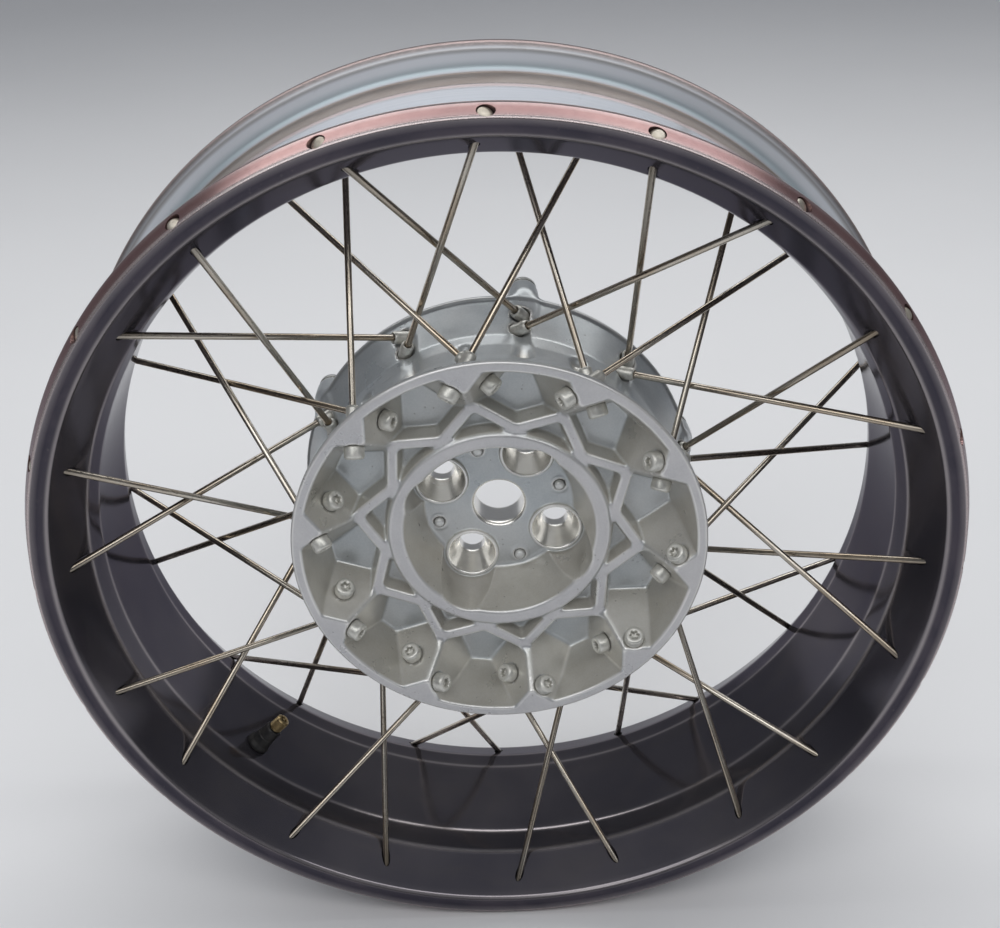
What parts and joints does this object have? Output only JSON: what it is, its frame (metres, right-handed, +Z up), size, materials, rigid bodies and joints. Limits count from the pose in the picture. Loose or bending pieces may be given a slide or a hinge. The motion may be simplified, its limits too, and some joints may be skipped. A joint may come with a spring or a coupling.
{
  "type": "spoked motorcycle wheel",
  "caption": "Tubeless rear wire wheel: wide aluminium rim, cross-laced straight-pull spokes with hub-side nipples, cast hub with conical bolt seats and disc posts.",
  "frame": {"origin": "the wheel's centre, on the spin axis, midway between the rim's two side faces", "axes": "+Y along the spin axis towards the brake disc and drive flange side; the dished bolt side faces -Y; +Z up; rim holes start at +X"},
  "size_m": [0.4644, 0.136, 0.4644],
  "materials": {
    "anodised_rim": "dark anodised hub side and side faces, bare satin tyre side",
    "cast_hub": "cast and lightly blasted, machined seats",
    "stainless_spoke": "drawn stainless with zinc-plated nipple",
    "zinc_pin": "zinc-plated",
    "steel_insert": "turned",
    "valve_rubber": "moulded, matt",
    "valve_brass": "turned, tarnished"
  },
  "bodies": {
    "wheel": {"rim": "anodised_rim", "hub": "cast_hub", "spoke_front_01": "stainless_spoke", "spoke_front_02": "stainless_spoke", "spoke_front_03": "stainless_spoke", "spoke_front_04": "stainless_spoke", "spoke_front_05": "stainless_spoke", "spoke_front_06": "stainless_spoke", "spoke_front_07": "stainless_spoke", "spoke_front_08": "stainless_spoke", "spoke_front_09": "stainless_spoke", "spoke_front_10": "stainless_spoke", "spoke_front_11": "stainless_spoke", "spoke_front_12": "stainless_spoke", "spoke_front_13": "stainless_spoke", "spoke_front_14": "stainless_spoke", "spoke_front_15": "stainless_spoke", "spoke_front_16": "stainless_spoke", "spoke_front_17": "stainless_spoke", "spoke_front_18": "stainless_spoke", "spoke_front_19": "stainless_spoke", "spoke_front_20": "stainless_spoke", "spoke_rear_01": "stainless_spoke", "spoke_rear_02": "stainless_spoke", "spoke_rear_03": "stainless_spoke", "spoke_rear_04": "stainless_spoke", "spoke_rear_05": "stainless_spoke", "spoke_rear_06": "stainless_spoke", "spoke_rear_07": "stainless_spoke", "spoke_rear_08": "stainless_spoke", "spoke_rear_09": "stainless_spoke", "spoke_rear_10": "stainless_spoke", "spoke_rear_11": "stainless_spoke", "spoke_rear_12": "stainless_spoke", "spoke_rear_13": "stainless_spoke", "spoke_rear_14": "stainless_spoke", "spoke_rear_15": "stainless_spoke", "spoke_rear_16": "stainless_spoke", "spoke_rear_17": "stainless_spoke", "spoke_rear_18": "stainless_spoke", "spoke_rear_19": "stainless_spoke", "spoke_rear_20": "stainless_spoke", "dowel_pin_1": "zinc_pin", "dowel_pin_2": "zinc_pin", "dowel_pin_3": "zinc_pin", "dowel_pin_4": "zinc_pin", "disc_insert_1": "steel_insert", "disc_insert_2": "steel_insert", "disc_insert_3": "steel_insert", "disc_insert_4": "steel_insert", "disc_insert_5": "steel_insert", "valve_rubber": "valve_rubber", "valve_stem": "valve_brass", "valve_core": "valve_brass"},
    "core_pin": {"valve_core_pin": "valve_brass"}
  },
  "joints": [
    {"name": "valve_core_pin_slide", "type": "slide", "parent": "wheel", "child": "core_pin", "axis": [-0.7071, 0, -0.7071], "range_m": [0, 0.0015], "stiffness_N_per_m": 600, "springref_m": -0.001}
  ]
}
